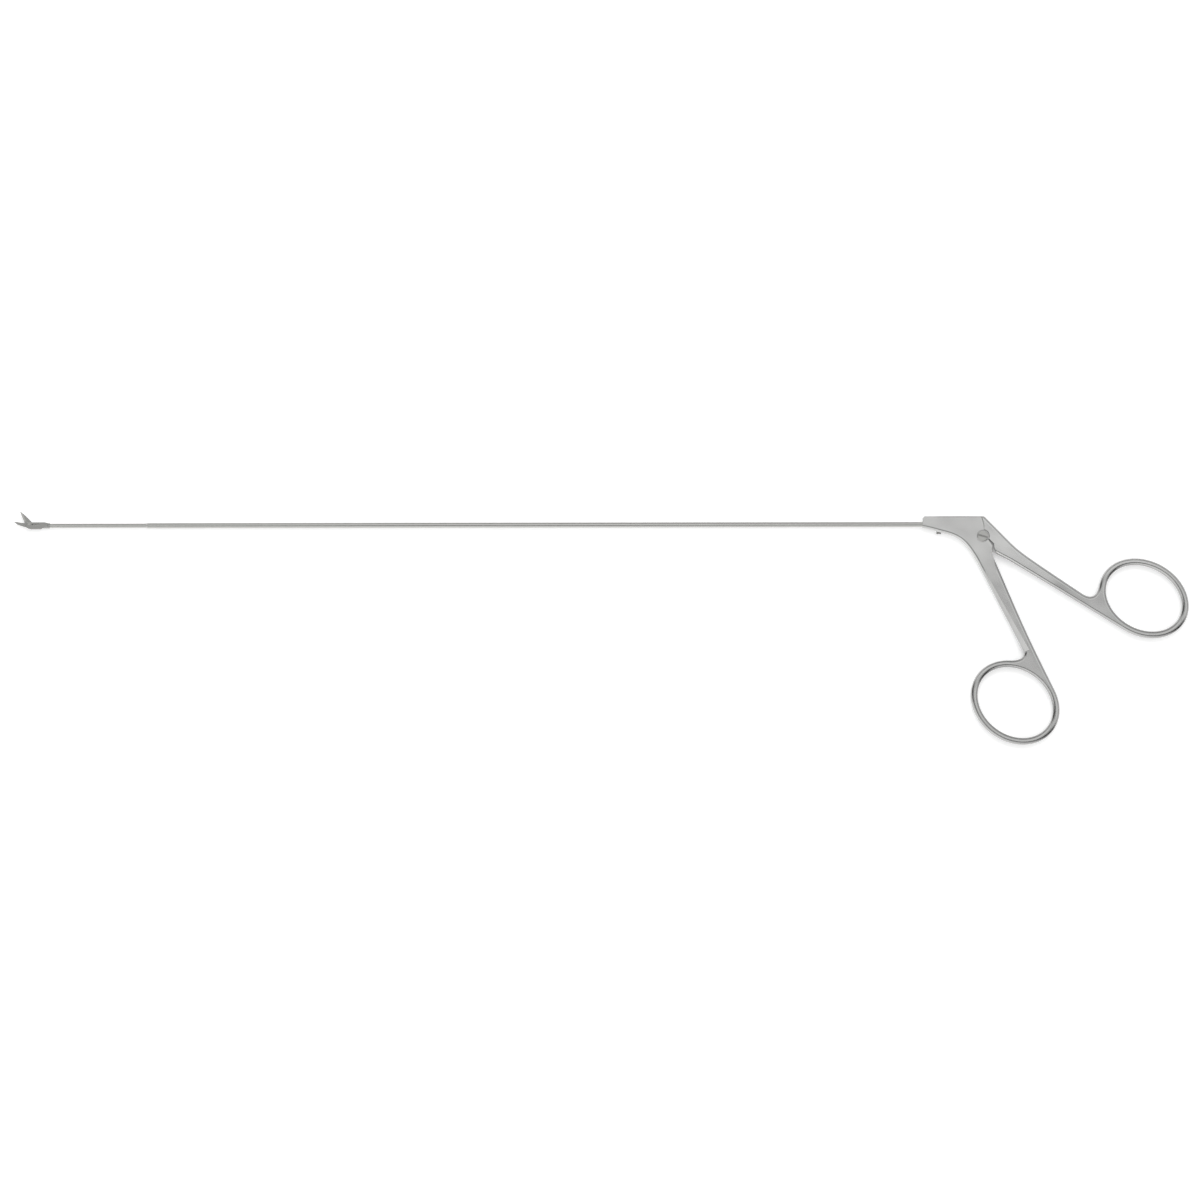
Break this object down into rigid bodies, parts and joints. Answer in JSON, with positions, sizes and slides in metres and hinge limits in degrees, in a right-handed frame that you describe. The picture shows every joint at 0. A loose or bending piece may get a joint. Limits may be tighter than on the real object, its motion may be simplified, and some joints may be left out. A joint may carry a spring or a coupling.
{
  "type": "microlaryngeal scissors",
  "caption": "Slim long-shafted surgical scissors: ring handles work a small hinged blade at the shaft's tip through a pull rod inside the tube.",
  "frame": {"origin": "bottom centre of the instrument's box, as it lies flat with the jaw open", "axes": "+X runs back along the shaft from the jaw to the finger rings, +Y runs from the finger rings towards the shaft's side, +Z is the thickness, out of the face with the hinge screw's head"},
  "size_m": [0.2974, 0.0596, 0.0046],
  "materials": {
    "satin_handle_steel": "satin blasted",
    "drawn_tube_steel": "drawn and lightly brushed along its length",
    "ground_blade_steel": "fine ground",
    "turned_screw_steel": "turned"
  },
  "bodies": {
    "front_handle_body": {"front_handle": "satin_handle_steel", "hinge_screw": "turned_screw_steel", "sheath_set_screw": "turned_screw_steel", "sheath_tube": "drawn_tube_steel", "distal_tube": "drawn_tube_steel", "rod_guide_bush": "turned_screw_steel", "jaw_fork": "ground_blade_steel", "jaw_pivot_pin": "turned_screw_steel"},
    "thumb_lever_body": {"thumb_lever": "satin_handle_steel", "rod_cross_pin": "turned_screw_steel"},
    "pull_rod_body": {"pull_rod": "drawn_tube_steel", "rod_end_eye": "turned_screw_steel", "rod_yoke": "ground_blade_steel"},
    "moving_blade_body": {"moving_blade": "ground_blade_steel", "blade_tail_pin": "turned_screw_steel"}
  },
  "joints": [
    {"name": "lever_hinge", "type": "hinge", "parent": "front_handle_body", "child": "thumb_lever_body", "pos_m": [0.09653, 0.02307, 0.0021], "axis": [0, 0, -1], "range_deg": [0, 10.94]},
    {"name": "rod_slide", "type": "slide", "parent": "front_handle_body", "child": "pull_rod_body", "axis": [1, 0, 0], "range_m": [0, 0.00056158]},
    {"name": "blade_hinge", "type": "hinge", "parent": "front_handle_body", "child": "moving_blade_body", "pos_m": [-0.1446, 0.02644, 0.0021], "axis": [0, 0, 1], "range_deg": [0, 48.01]}
  ],
  "couplings": [
    {"joint": "rod_slide", "follows": "lever_hinge", "m_per_rad": 0.0029389},
    {"joint": "blade_hinge", "follows": "lever_hinge", "ratio": 4.3865}
  ]
}
